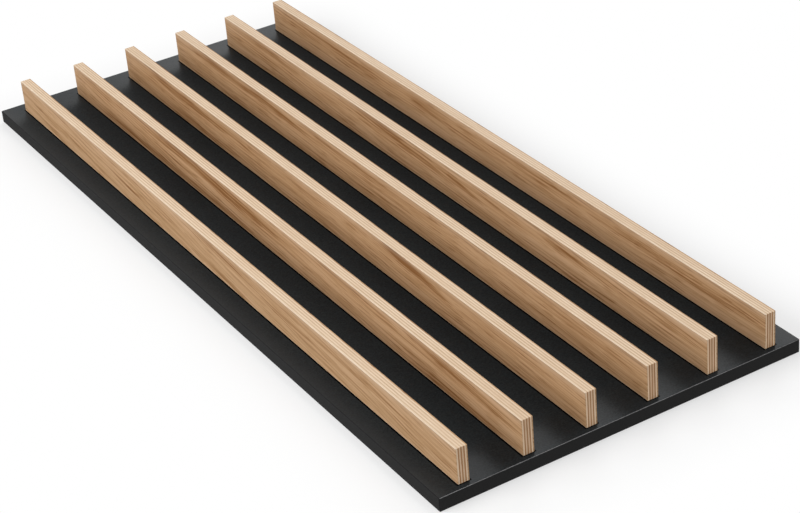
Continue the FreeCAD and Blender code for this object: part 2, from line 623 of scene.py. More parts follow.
    def flame(self, graph: NodeGraph, flame: Flame, centre: Vector) -> Socket:
        """Give one tongue of darker wood, frayed into fibres that run with it.

        Args:
            graph: The material's node tree.
            flame: Place and size of the tongue.
            centre: Middle of the slat, in metres.

        Returns:
            The tongue's darkness, 0 outside it.
        """
        middle = (centre.x, centre.y + flame.along, centre.z + flame.up)
        spot = graph.place(middle, (flame.slope, 0.0, 0.0), (1.0, flame.length / 2.0, flame.height / 2.0))
        along = graph.coordinate(spot, "Y")
        wedge = graph.math("SUBTRACT", 1.0, graph.math("MULTIPLY", along, self.taper))
        rise = graph.math("MULTIPLY", graph.coordinate(spot, "Z"), wedge)
        square = graph.total(graph.math("POWER", along, 2.0), graph.math("MULTIPLY", rise, rise))
        reach = graph.math("SQRT", square)
        count = (0.0, flame.length * self.fibres_along, flame.height * self.fibres_up)
        own_part = (self.fibre_seed * self.figure.seed + self.fibre_place * flame.along, 0.0, 0.0)
        fibre = graph.noise(graph.stretch(spot, count, own_part), 1.0)
        frayed = graph.total(reach, graph.weigh(fibre, -flame.fray))
        return graph.span(frayed, self.flame_core, self.flame_rim, flame.weight, 0.0)

    def left_face_highlight(self, graph: NodeGraph, leaf: Socket) -> Socket:
        """Give the painted highlight on the left face, most at the top and a little at the foot.

        Args:
            graph: The material's node tree.
            leaf: Coordinates about the middle of the slat.

        Returns:
            The share of the arris's paler colour.
        """
        height = graph.coordinate(leaf, "Z")
        below_top = graph.math("SUBTRACT", self.half_height, height)
        above_foot = graph.math("ADD", self.half_height, height)
        share = graph.total(
            self.top_arris.cover(graph, below_top),
            self.top_fade.cover(graph, below_top),
            self.foot_arris.cover(graph, above_foot),
        )
        left = graph.math("LESS_THAN", graph.coordinate(leaf, "X"), 0.0)
        return graph.math("MULTIPLY", left, share)


@dataclass(frozen=True)
class PlyEdge:
    """Sawn edge of a ply, with lines and patches drawn out along its grain, where run is small."""

    name: str
    pale: Colour
    deep: Colour
    run: Point
    lines: float = 700.0
    patches: float = 90.0
    specks: float = 2600.0
    mean: float = 0.5
    line_weight: float = 1.1
    patch_weight: float = 0.9
    speck_weight: float = 0.3
    smooth: float = 0.54
    dull: float = 0.66
    line_relief: float = 0.6
    speck_relief: float = 0.4
    relief: float = 0.00008
    specular: float = 0.22

    def make(self) -> bpy.types.Material:
        """Make the ply's edge.

        Returns:
            The material.
        """
        graph = MaterialGraph(self.name)
        spot = graph.place()
        drawn = graph.stretch(spot, self.run)
        line = graph.noise(drawn, self.lines, detail=3.0, rough=0.6)
        patch = graph.noise(drawn, self.patches, detail=2.0)
        speck = graph.noise(spot, self.specks, detail=1.0)
        dark = graph.total(
            graph.weigh(line, self.line_weight),
            self.mean,
            graph.weigh(patch, self.patch_weight),
            graph.weigh(speck, self.speck_weight),
        )
        colour = graph.ramp(dark, ((0.0, self.pale), (1.0, self.deep)))
        roughness = graph.vary(speck, self.smooth, self.dull)
        height = graph.total(
            graph.weigh(line, self.line_relief, 0.0), graph.weigh(speck, self.speck_relief, 0.0)
        )
        return graph.finish(colour, roughness, height, self.relief, Specular_IOR_Level=self.specular)


@dataclass(frozen=True)
class BlackFinish:
    """Satin black of the board's film, arrises and edges, told apart by its numbers, which also give
    the painted highlight on the end arrises and the painted contact shadow round the slats' feet.

    Attributes:
        name: Name of the material.
        pale: Its palest colour.
        deep: Its deepest colour.
        smooth: Least roughness.
        dull: Most roughness, where no dust lies.
        specular: Level of its gloss.
        grain: Pebbles to the metre.
        relief: Depth of the pebbles, in metres.
        rim: Share of the painted light along the board's long sides.
        dust: Roughness that is added between the board's open ends.
        painted_light: Colour of that painted light.
        rim_start: Where the painted light starts, from the board's middle across it, in metres.
        rim_full: Where the painted light is full.
        dust_end: Where the dust starts to thin, from the board's middle along it, in metres.
        dust_gone: Where no dust is left.
        mists: Broad patches to the metre.
        speck_ratio: Specks in the gloss for each pebble.
        mean: Place of the mean colour between the deepest and the palest.
        pebble_weight: How much the pebbles change the colour.
        mist_weight: How much the patches change the colour.
        mist_blur: How much the patches change the roughness.
    """

    name: str
    pale: Colour
    deep: Colour
    smooth: float
    dull: float
    specular: float
    grain: float
    relief: float
    rim: float = 0.0
    dust: float = 0.0
    painted_light: Colour = tone(52, 52, 52)
    rim_start: float = 0.222
    rim_full: float = 0.249
    dust_end: float = 0.526
    dust_gone: float = 0.566
    mists: float = 7.0
    speck_ratio: float = 2.2
    mean: float = 0.5
    pebble_weight: float = 1.4
    mist_weight: float = 0.6
    mist_blur: float = 0.5

    def make(self) -> bpy.types.Material:
        """Make the black finish, maybe with painted light at the long sides and dust between the open
        ends.

        Returns:
            The material.
        """
        graph = MaterialGraph(self.name)
        spot = graph.place()
        pebble = graph.noise(spot, self.grain, detail=2.0, rough=0.6)
        mist = graph.noise(spot, self.mists, detail=3.0, rough=0.55)
        speck = graph.noise(spot, self.grain * self.speck_ratio, detail=1.0)
        light = graph.total(
            graph.weigh(pebble, self.pebble_weight), self.mean, graph.weigh(mist, self.mist_weight)
        )
        colour = graph.ramp(light, ((0.0, self.deep), (1.0, self.pale)))
        # Painted light: the film turns paler towards the board's long sides.
        if self.rim > 0.0:
            share = graph.span(graph.reach(spot, "X"), self.rim_start, self.rim_full, 0.0, self.rim)
            colour = graph.mix(share, colour, self.painted_light)
        blur = graph.total(graph.weigh(mist, self.mist_blur), speck)
        roughness = graph.vary(blur, self.smooth, self.dull)
        if self.dust > 0.0:
            dulled = graph.span(graph.reach(spot, "Y"), self.dust_end, self.dust_gone, self.dust, 0.0)
            roughness = graph.total(roughness, dulled)
        return graph.finish(colour, roughness, pebble, self.relief, Specular_IOR_Level=self.specular)


@dataclass(frozen=True)
class ZincPlate:
    """Bright zinc plate on the screws, with a faint turned grain."""

    bright: Colour = tone(206, 208, 211)
    dull: Colour = tone(158, 161, 166)
    bright_level: float = 0.3
    dull_level: float = 0.75
    run: Point = (1.0, 1.0, 0.2)
    lines: float = 3000.0
    blooms: float = 420.0
    bloom_blur: float = 0.6
    least_rough: float = 0.24
    most_rough: float = 0.42
    relief: float = 0.00002

    def make(self, name: str) -> bpy.types.Material:
        """Make the plate.

        Args:
            name: Name of the material.

        Returns:
            The material.
        """
        graph = MaterialGraph(name)
        spot = graph.place()
        turned = graph.noise(graph.stretch(spot, self.run), self.lines, detail=2.0)
        bloom = graph.noise(spot, self.blooms, detail=3.0, rough=0.6)
        colour = graph.ramp(bloom, ((self.bright_level, self.bright), (self.dull_level, self.dull)))
        blur = graph.total(turned, graph.weigh(bloom, self.bloom_blur))
        roughness = graph.vary(blur, self.least_rough, self.most_rough)
        return graph.finish(colour, roughness, turned, self.relief, Metallic=1.0)


@dataclass
class Workpiece:
    """A piece on the bench, shaped with Blender's own modelling tools."""

    piece: bpy.types.Object

    @classmethod
    def block(cls, name: str, low: Vector, high: Vector) -> "Workpiece":
        """Start from a block that fills a box.

        Args:
            name: Name of the piece.
            low: Lowest corner, in metres.
            high: Highest corner, in metres.

        Returns:
            The workpiece.
        """
        bpy.ops.object.select_all(action="DESELECT")
        bpy.ops.mesh.primitive_cube_add(size=1.0, location=(low + high) / 2.0, scale=high - low)
        return cls.take(name)

    @classmethod
    def disc(cls, name: str, centre: Point, radius: float, sides: int) -> "Workpiece":
        """Start from a filled disc that faces up.

        Args:
            name: Name of the piece.
            centre: Middle of the disc, in metres.
            radius: Radius, in metres.
            sides: Number of sides of the disc.

        Returns:
            The workpiece.
        """
        bpy.ops.object.select_all(action="DESELECT")
        bpy.ops.mesh.primitive_circle_add(vertices=sides, radius=radius, fill_type="NGON", location=centre)
        return cls.take(name)

    @classmethod
    def take(cls, name: str) -> "Workpiece":
        """Name the object that was just added and put its place into its mesh.

        Args:
            name: Name of the piece.

        Returns:
            The workpiece.
        """
        piece = bpy.context.object
        piece.name = name
        piece.data.name = name
        bpy.ops.object.transform_apply(location=True, rotation=True, scale=True)
        return cls(piece)

    def choose(self) -> None:
        """Select this piece alone and make it active."""
        bpy.ops.object.select_all(action="DESELECT")
        self.piece.select_set(True)
        bpy.context.view_layer.objects.active = self.piece

    def edit(self) -> None:
        """Go into edit mode on this piece alone."""
        self.choose()
        bpy.ops.object.mode_set(mode="EDIT")

    def leave(self) -> None:
        """Go back to object mode."""
        bpy.ops.object.mode_set(mode="OBJECT")

    def pick(self, test: FaceTest) -> None:
        """Select the faces that pass a test and stay in edit mode.

        Args:
            test: Says whether a face is wanted, from its place or normal.
        """
        self.edit()
        bpy.ops.mesh.select_mode(type="FACE")
        bpy.ops.mesh.select_all(action="DESELECT")
        self.leave()
        for face in self.piece.data.polygons:
            if test(face):
                face.select = True
        self.edit()

    def ease_edges(self, width: float, steps: int) -> None:
        """Round every edge of a plain block.

        Args:
            width: Width of the arris, in metres.
            steps: Number of faces across the arris.
        """
        self.edit()
        bpy.ops.mesh.select_mode(type="EDGE")
        bpy.ops.mesh.select_all(action="SELECT")
        bpy.ops.mesh.bevel(offset=width, offset_type="OFFSET", segments=steps, profile=0.5, affect="EDGES")
        self.leave()

    def slice_at(self, point: Vector, direction: Vector) -> None:
        """Cut an edge loop where a plane meets the piece.

        Args:
            point: A point on the plane.
            direction: Direction that the plane is square to.
        """
        self.edit()
        bpy.ops.mesh.select_all(action="SELECT")
        bpy.ops.mesh.bisect(plane_co=point, plane_no=direction)
        self.leave()

    def sink(self, test: FaceTest, depth: float) -> None:
        """Push the faces that pass a test into the piece, with walls round them.

        Args:
            test: Says whether a face is wanted.
            depth: How deep, in metres.
        """
        self.pick(test)
        bpy.ops.mesh.extrude_region_shrink_fatten(
            TRANSFORM_OT_shrink_fatten={"value": -depth, "use_even_offset": True}
        )
        self.leave()

    def raise_face(self, rise: float, spread: float, centre: Point) -> None:
        """Extrude the selected face upwards and resize its new end.

        Args:
            rise: Height to extrude, in metres.
            spread: Factor on the width of the new end.
            centre: Point on the axis that the end is resized about.
        """
        bpy.ops.mesh.extrude_region_move(TRANSFORM_OT_translate={"value": (0.0, 0.0, rise)})
        bpy.ops.transform.resize(value=(spread, spread, 1.0), center_override=centre)

    def copy_to(self, name: str, shift: Point) -> "Workpiece":
        """Copy the piece, with a mesh of its own, to another place.

        Args:
            name: Name of the copy.
            shift: How far it moves, in metres.

        Returns:
            The copy.
        """
        self.choose()
        bpy.ops.object.duplicate(linked=False)
        bpy.ops.transform.translate(value=shift)
        return Workpiece.take(name)

    def cut_with(self, cutters: Sequence["Workpiece"]) -> None:
        """Cut other pieces out of this one and clear them away.

        Args:
            cutters: Closed pieces to cut away, two or more.
        """
        cutters[0].choose()
        for cutter in cutters:
            cutter.piece.select_set(True)
        bpy.ops.object.join()
        tool = bpy.context.view_layer.objects.active
        self.choose()
        bpy.ops.object.modifier_add(type="BOOLEAN")
        cut = self.piece.modifiers[-1]
        cut.operation = "DIFFERENCE"
        cut.solver = "EXACT"
        cut.object = tool
        bpy.ops.object.modifier_apply(modifier=cut.name)
        spent = tool.data
        bpy.data.objects.remove(tool)
        bpy.data.meshes.remove(spent)

    def smooth(self) -> None:
        """Shade round edges smooth and keep the large faces flat."""
        self.choose()
        bpy.ops.object.shade_smooth_by_angle(angle=math.radians(SHARP_ANGLE))
        bpy.ops.object.modifier_add(type="WEIGHTED_NORMAL")
        weighted = self.piece.modifiers[-1]
        weighted.keep_sharp = True
        bpy.ops.object.modifier_apply(modifier=weighted.name)

    def dress(self, finishes: Sequence[bpy.types.Material], sort: FaceSort) -> None:
        """Give the piece its materials and each face its own.

        Args:
            finishes: Materials in the order of the slots.
            sort: Says which slot a face takes.
        """
        self.piece.data.materials.clear()
        for finish in finishes:
            self.piece.data.materials.append(finish)
        for face in self.piece.data.polygons:
            face.material_index = sort(face).value

    def hand_over(self, node: str, slot: Slot) -> None:
        """Let the piece stand for its CAD node.

        Args:
            node: The CAD node.
            slot: Material slot of the record. Not used.
        """
        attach(self.piece, BODY)
        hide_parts(node)
        LOG.info("%s: %d faces, stands for %s", self.piece.name, len(self.piece.data.polygons), node)


@dataclass
class ScrewHoles:
    """The holes that the slats' screws pass through, in metres.

    Attributes:
        end_distance: How far a hole lies from the end of its slat.
        clearance: Width of the hole through the board.
        sink: Width of the countersink at the board's back.
        pilot: Width of the pilot hole in the slat's foot.
        pilot_depth: Depth of the pilot hole, without its point.
        point_ratio: Width of the drill's point over its length.
        point_end: Share of the width that is left at the tip of the point.
        sides: Number of sides of each round hole.
        overrun: How far a tool reaches past what it cuts.
    """

    end_distance: float = 0.25
    clearance: float = 0.0040
    sink: float = 0.0081
    pilot: float = 0.0036
    pilot_depth: float = 0.0285
    point_ratio: float = 3.4
    point_end: float = 0.02
    sides: int = 48
    overrun: float = 0.001

    def rows(self, slat: Corners) -> tuple[float, float]:
        """Give the places along Y of a slat's holes, from its lowest and highest corner."""
        return slat[0].y + self.end_distance, slat[1].y - self.end_distance

    def turned(self, name: str, base: Point, radius: float, steps: Sequence[ToolStep]) -> Workpiece:
        """Shape a closed round tool, step by step up from its base.

        Args:
            name: Name of the tool.
            base: Middle of its lower end, in metres.
            radius: Radius of that end, in metres.
            steps: Height of each step, in metres, and the factor on the width at its end.

        Returns:
            The tool.
        """
        tool = Workpiece.disc(name, base, radius, self.sides)
        tool.edit()
        bpy.ops.mesh.select_all(action="SELECT")
        for rise, spread in steps:
            tool.raise_face(rise, spread, base)
        bpy.ops.mesh.select_all(action="SELECT")
        bpy.ops.mesh.normals_make_consistent(inside=False)
        tool.leave()
        return tool

    def board_cutter(self, across: float, along: float, low: Vector, high: Vector) -> Workpiece:
        """Shape the tool for one countersunk hole, from below the board's back to above its face.

        Args:
            across: Place of the hole along X.
            along: Place of the hole along Y.
            low: Lowest corner of the board.
            high: Highest corner of the board.

        Returns:
            The tool, a closed piece.
        """
        base = (across, along, low.z - self.overrun)
        wide = self.sink / 2.0 + self.overrun
        narrow = self.clearance / 2.0
        cone = wide - narrow
        bore = high.z - low.z + 2.0 * self.overrun - cone
        return self.turned("board_cutter", base, wide, ((cone, narrow / wide), (bore, 1.0)))

    def slat_cutter(self, across: float, along: float, foot: float) -> Workpiece:
        """Shape the tool for one pilot hole in a slat's foot.

        Args:
            across: Place of the hole along X.
            along: Place of the hole along Y.
            foot: Height of the foot.

        Returns:
            The tool, a closed piece.
        """
        base = (across, along, foot - self.overrun)
        bore = self.pilot_depth + self.overrun
        point = self.pilot / self.point_ratio
        return self.turned("slat_cutter", base, self.pilot / 2.0, ((bore, 1.0), (point, self.point_end)))


@dataclass
class BackingBoard:
    """The black board, with rounded arrises and countersunk holes from behind.

    Attributes:
        node: The CAD node.
        name: Name of the piece.
        arris: Width of the rounded arris, in metres.
        arris_steps: Number of faces across the arris.
        shade_reach: How far the painted contact shadow reaches past a slat's foot, in metres.
        flat_normal: Least part along one axis of a flat face's normal.
        upright_normal: Most part along Z of an edge's normal.
        crown_normal: Least and most part along Z of the normal on the crown of an end's arris.
        crown_skew: Most part along X of that normal.
        facing: Finish of the front, paler towards the long sides as painted light.
        corner: Finish of the arrises.
        painted_light: Finish of the crown of the front arris at both ends, pale grey as a painted
            highlight.
        edge: Finish of the narrow sides.
        foot_shade: Finish of the painted contact shadow round a slat's foot, near black and without gloss.
        back: Finish of the back.
    """

    node: str = "backing_board"
    name: str = "satin_board"
    arris: float = 0.001
    arris_steps: int = 4
    shade_reach: Point = (0.0020, 0.0010, 0.0)
    flat_normal: float = 0.995
    upright_normal: float = 0.9
    crown_normal: tuple[float, float] = (0.4, 0.9)
    crown_skew: float = 0.05
    # The facing is paler towards the long sides: painted light.
    facing: BlackFinish = BlackFinish(
        "black_facing", pale=tone(45, 51, 54), deep=tone(8, 14, 19), smooth=0.29, dull=0.39,
        specular=0.088, grain=520.0, relief=0.00006, rim=0.53, dust=0.26,
    )
    corner: BlackFinish = BlackFinish(
        "black_arris", pale=tone(38, 38, 39), deep=tone(26, 26, 27), smooth=0.5, dull=0.6,
        specular=0.06, grain=600.0, relief=0.00002,
    )
    # Painted highlight: pale grey on the crown of the arris at both ends of the board.
    painted_light: BlackFinish = BlackFinish(
        "painted_end_highlight", pale=tone(130, 130, 131), deep=tone(58, 58, 59), smooth=0.24, dull=0.34,
        specular=0.5, grain=240.0, relief=0.00002,
    )
    edge: BlackFinish = BlackFinish(
        "black_edge", pale=tone(47, 47, 47), deep=tone(36, 36, 36), smooth=0.7, dull=0.85,
        specular=0.06, grain=700.0, relief=0.00006,
    )
    # Painted contact shadow: a near-black strip without gloss round each slat's foot.
    foot_shade: BlackFinish = BlackFinish(
        "painted_contact_shadow", pale=tone(16, 16, 17), deep=tone(6, 6, 7), smooth=0.85, dull=0.95,
        specular=0.0, grain=900.0, relief=0.00003,
    )
    back: BlackFinish = BlackFinish(
        "black_back", pale=tone(44, 45, 46), deep=tone(17, 18, 19), smooth=0.45, dull=0.58,
        specular=0.07, grain=420.0, relief=0.00006,
    )

    def build(self, holes: ScrewHoles, feet: Sequence[Corners]) -> None:
        """Model the board, mark on it the painted contact shadow round the slats' feet and dress it.

        Args:
            holes: The screw holes.
            feet: Lowest and highest corner of each slat, from left to right.
        """
        low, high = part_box(self.node)
        board = Workpiece.block(self.name, low, high)
        board.ease_edges(self.arris, self.arris_steps)
        margin = Vector(self.shade_reach)
        seats = [(foot_low - margin, foot_high + margin) for foot_low, foot_high in feet]
        for seat_low, seat_high in seats:
            board.slice_at(seat_low, ACROSS)
            board.slice_at(seat_high, ACROSS)
        for corner in seats[0]:
            board.slice_at(corner, ALONG)
        columns = [(foot_low.x + foot_high.x) / 2.0 for foot_low, foot_high in feet]
        rows = holes.rows(feet[0])
        board.cut_with([holes.board_cutter(x, y, low, high) for x in columns for y in rows])
        board.smooth()
        blacks = (self.facing, self.corner, self.edge, self.painted_light, self.foot_shade, self.back)
        board.dress([black.make() for black in blacks], lambda face: self.sort(face, seats))
        board.hand_over(self.node, Slot.BOARD)

    def sort(self, face: bpy.types.MeshPolygon, seats: Sequence[Corners]) -> BoardFace:
        """Say what a face shows.

        Args:
            face: A face of the board.
            seats: Lowest and highest corner of the painted contact shadow round each slat's foot.

        Returns:
            Facing on the front, back behind, edge on the narrow sides, arris between them, painted
            highlight on the crown of the end arrises and painted contact shadow at the slats' feet.
        """
        steepest = max(abs(component) for component in face.normal)
        if steepest < self.flat_normal:
            least, most = self.crown_normal
            # The crown of an end arris takes the painted highlight.
            crown = abs(face.normal.x) < self.crown_skew and least < face.normal.z < most
            return BoardFace.RUBBED_ARRIS if crown else BoardFace.ARRIS
        if abs(face.normal.z) < self.upright_normal:
            return BoardFace.EDGE
        if face.normal.z < 0.0:
            return BoardFace.BACK
        spot = face.center
        # Faces round a slat's foot take the painted contact shadow.
        in_shade = any(a.x < spot.x < b.x and a.y < spot.y < b.y for a, b in seats)
        return BoardFace.JOINT if in_shade else BoardFace.FACING


@dataclass
class PlywoodSlat:
    """One slat: oak veneers on a core of pale and tan plies, standing on edge.

    Attributes:
        arris: Width of the rounded arris, in metres.
        arris_steps: Number of faces across the arris.
        ply_count: Number of plies between the veneers.
        left_veneer: Thickness of the left veneer, in metres.
        right_veneer: Thickness of the right veneer, in metres.
        relief: How far the sawn edges of the tan plies lie below the pale ones, in metres.
        face_normal: Most part along X of the normal on a sawn edge.
        centre: Middle of the slat, in metres.
        half: Half of the slat's size along each axis, in metres.
    """

    arris: float = 0.0005
    arris_steps: int = 2
    ply_count: int = 7
    left_veneer: float = 0.0006
    right_veneer: float = 0.0018
    relief: float = 0.00008
    face_normal: float = 0.5
    centre: Vector = field(default_factory=Vector)
    half: Vector = field(default_factory=Vector)

    def seams(self) -> list[float]:
        """List the glue lines.

        Returns:
            Places along X from the middle of the slat, from left to right.
        """
        start = -self.half.x + self.left_veneer
        ply = (2.0 * self.half.x - self.left_veneer - self.right_veneer) / self.ply_count
        return [start + ply * count for count in range(self.ply_count + 1)]

    def ply_of(self, face: bpy.types.MeshPolygon) -> int:
        """Say which ply a face belongs to, 0 and ply_count + 1 being the veneers."""
        place = face.center.x - self.centre.x
        return sum(place > seam for seam in self.seams())

    def is_tan_edge(self, face: bpy.types.MeshPolygon) -> bool:
        """Say whether a face is on the sawn edge of a tan ply."""
        ply = self.ply_of(face)
        return 0 < ply <= self.ply_count and ply % 2 == 0 and abs(face.normal.x) < self.face_normal

    def model(self, name: str, node: str, holes: ScrewHoles) -> Workpiece:
        """Shape the slat in the place of a CAD node.

        Args:
            name: Name of the piece.
            node: The CAD node.
            holes: The screw holes.

        Returns:
            The shaped slat.
        """
        low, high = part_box(node)
        self.centre = (low + high) / 2.0
        self.half = (high - low) / 2.0
        slat = Workpiece.block(name, low, high)
        slat.ease_edges(self.arris, self.arris_steps)
        for seam in self.seams():
            slat.slice_at(self.centre + seam * ACROSS, ACROSS)
        slat.sink(self.is_tan_edge, self.relief)
        rows = holes.rows((low, high))
        slat.cut_with([holes.slat_cutter(self.centre.x, y, low.z) for y in rows])
        slat.smooth()
        return slat

    def sort(self, face: bpy.types.MeshPolygon) -> SlatFace:
        """Say what a face shows.

        Args:
            face: A face of the slat.

        Returns:
            Oak on the veneers, else the ply and whether its end is seen.
        """
        ply = self.ply_of(face)
        if ply == 0 or ply > self.ply_count:
            return SlatFace.OAK
        if abs(face.normal.y) > abs(face.normal.z):
            if ply in (1, self.ply_count):
                return SlatFace.OUTER_PLY_END
            return SlatFace.PALE_PLY_END if ply % 2 == 1 else SlatFace.TAN_PLY_END
        return SlatFace.PALE_PLY if ply % 2 == 1 else SlatFace.TAN_PLY


@dataclass
class SlatRow:
    """The row of slats, each with oak of its own figure.

    Attributes:
        figures: Cut of each slat's oak, from left to right.
        pale_ply: Long edge of a pale ply.
        tan_ply: Long edge of a tan ply.
        pale_ply_end: End of a pale ply.
        tan_ply_end: End of a tan ply.
        outer_ply_end: End of the pale ply next to either veneer.
    """

    figures: tuple[OakFigure, ...] = (
        OakFigure(
            seed=1.0, lean=4.6, heart=(0.060, 0.0, -0.070), dive=0.7,
            ring_weight=0.44, line_weight=0.46, shade=0.30,
            flames=(
                Flame(0.214, -0.003, 0.150, 0.006, 4.0, 0.46),
                Flame(0.085, 0.001, 0.120, 0.005, 5.0, 0.34),
                Flame(-0.052, 0.014, 0.240, 0.012, 4.0, 0.38),
                Flame(-0.225, 0.002, 0.170, 0.008, 2.0, 0.42),
                Flame(-0.060, -0.017, 0.170, 0.009, 4.0, 0.42),
                Flame(-0.400, 0.008, 0.300, 0.005, 2.0, 0.34),
            ),
        ),
        OakFigure(
            seed=2.0, lean=3.2, heart=(0.060, 0.0, 0.090), dive=0.8,
            ring_weight=0.52, line_weight=0.44, shade=0.36,
            flames=(
                Flame(0.115, 0.012, 0.540, 0.019, 2.0, 0.52),
                Flame(0.262, -0.017, 0.600, 0.012, 0.6, 0.42),
                Flame(-0.470, 0.011, 0.300, 0.017, 4.0, 0.44),
                Flame(-0.457, -0.017, 0.260, 0.012, 1.0, 0.46),
                Flame(-0.360, 0.000, 0.460, 0.003, 0.0, -0.16),
            ),
        ),
        OakFigure(
            seed=3.0, lean=2.0, heart=(0.070, 0.0, 0.110), dive=0.6,
            ring_weight=0.32, line_weight=0.38, shade=0.40,
            flames=(
                Flame(0.390, 0.013, 0.300, 0.015, 2.5, 0.52),
                Flame(-0.240, 0.013, 0.220, 0.016, 6.0, 0.58),
                Flame(0.345, -0.017, 0.340, 0.011, 0.0, 0.34),
            ),
        ),
        OakFigure(
            seed=4.0, lean=1.2, heart=(0.060, 0.0, 0.150), dive=0.5,
            ring_weight=0.32, line_weight=0.38, shade=0.41,
            flames=(
                Flame(0.435, 0.014, 0.200, 0.016, 3.0, 0.44),
                Flame(0.290, 0.012, 0.260, 0.016, 3.0, 0.44),
                Flame(0.075, 0.014, 0.220, 0.009, 1.0, 0.28),
            ),
        ),
        OakFigure(
            seed=5.0, lean=2.4, heart=(0.055, 0.0, 0.090), dive=0.8,
            ring_weight=0.52, line_weight=0.44, shade=0.34,
            flames=(
                Flame(0.440, 0.014, 0.190, 0.013, 3.0, 0.40),
                Flame(0.060, 0.012, 0.270, 0.014, 5.0, 0.42),
                Flame(-0.086, 0.006, 0.100, 0.009, 5.0, 0.36),
                Flame(-0.311, 0.013, 0.140, 0.011, 4.0, 0.34),
                Flame(-0.330, 0.001, 0.480, 0.003, 0.0, -0.16),
                # Full-length band: painted shade along the upper middle of the face.
                Flame(0.000, 0.007, 2.400, 0.022, 0.0, 0.15, 0.3),
            ),
        ),
        OakFigure(
            seed=6.0, lean=1.0, heart=(0.050, 0.0, -0.090), dive=0.5,
            ring_weight=0.42, line_weight=0.36, shade=0.37,
            flames=(
                Flame(0.515, 0.021, 0.034, 0.004, 3.0, 0.35),
                Flame(0.142, 0.006, 0.090, 0.007, 3.0, 0.24),
                Flame(-0.500, 0.002, 0.240, 0.008, 0.0, 0.32),
                Flame(-0.210, 0.002, 0.500, 0.003, 0.0, -0.14),
                # Full-length bands: painted shade along the upper middle, painted light along the foot.
                Flame(0.000, 0.008, 2.400, 0.026, 0.0, 0.19, 0.3),
                Flame(0.000, -0.021, 2.400, 0.030, 0.0, -0.30, 0.3),
            ),
        ),
    )
    pale_ply: PlyEdge = PlyEdge(
        "pale_ply", pale=tone(242, 222, 197), deep=tone(214, 184, 150), run=(1.0, 0.05, 0.05)
    )
    tan_ply: PlyEdge = PlyEdge(
        "tan_ply", pale=tone(225, 197, 166), deep=tone(189, 155, 120), run=(1.0, 0.04, 1.0)
    )
    pale_ply_end: PlyEdge = PlyEdge(
        "pale_ply_end", pale=tone(242, 216, 186), deep=tone(211, 177, 141), run=(1.0, 1.0, 0.06)
    )
    tan_ply_end: PlyEdge = PlyEdge(
        "tan_ply_end", pale=tone(206, 156, 112), deep=tone(154, 105, 66), run=(1.0, 1.0, 0.06)
    )
    outer_ply_end: PlyEdge = PlyEdge(
        "outer_ply_end", pale=tone(255, 232, 203), deep=tone(236, 204, 168), run=(1.0, 1.0, 0.06)
    )

    def names(self) -> list[str]:
        """List the CAD nodes of the slats, from left to right."""
        return [f"slat_{count}" for count in range(1, len(self.figures) + 1)]

    def boxes(self) -> list[Corners]:
        """List the lowest and highest corner of each slat."""
        return [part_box(node) for node in self.names()]

    def build(self, holes: ScrewHoles) -> None:
        """Model one slat, copy it along the row and dress each.

        Args:
            holes: The screw holes.
        """
        edges = (self.pale_ply, self.tan_ply, self.pale_ply_end, self.tan_ply_end, self.outer_ply_end)
        plies = [edge.make() for edge in edges]
        nodes = self.names()
        columns = [(low.x + high.x) / 2.0 for low, high in self.boxes()]
        slat = PlywoodSlat()
        pieces = [slat.model("plywood_slat_1", nodes[0], holes)]
        for count, column in enumerate(columns[1:], start=2):
            pieces.append(pieces[0].copy_to(f"plywood_slat_{count}", (column - columns[0], 0.0, 0.0)))
        middle = slat.centre.copy()
        rows = zip(pieces, nodes, columns, self.figures)
        for count, (piece, node, column, figure) in enumerate(rows, start=1):
            slat.centre = Vector((column, middle.y, middle.z))
            oak = OakVeneer(figure, slat.half.z).make(f"oak_veneer_{count}", slat.centre)
            piece.dress([oak, *plies], slat.sort)
            piece.hand_over(node, Slot.SLAT)


@dataclass
class SlatScrews:
    """The screws, whose CAD shape stays and takes a plated finish."""

    node: str = "slat_screws"
    plate: ZincPlate = ZincPlate()

    def build(self) -> None:
        """Dress the CAD screws."""
        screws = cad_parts[self.node]
        screws.data.materials.clear()
        screws.data.materials.append(self.plate.make("zinc_plate"))
        LOG.info("%s: CAD shape kept, zinc plate", self.node)


@dataclass(frozen=True)
class SoftBox:
    """A square-edged soft light.

    Attributes:
        name: Name of the light.
        position: Where it hangs, in metres.
        aim: Point that it faces, in metres.
        width: Width, in metres.
        height: Height, in metres.
        radiance: Brightness of its face, where 1 is white.
    """

    name: str
    position: Point
    aim: Point
    width: float
    height: float
    radiance: float

    def build(self) -> None:
        """Hang the light and turn it to its aim."""
        lamp = bpy.data.lights.new(self.name, "AREA")
        lamp.shape = "RECTANGLE"
        lamp.size = self.width
        lamp.size_y = self.height
        lamp.energy = self.radiance * SOFT_LIGHT_WATTS * self.width * self.height
        light = bpy.data.objects.new(self.name, lamp)
        light.location = self.position
        direction = Vector(self.aim) - Vector(self.position)
        light.rotation_euler = direction.to_track_quat("-Z", "Y").to_euler()
        light.visible_camera = False
        bpy.context.scene.collection.objects.link(light)


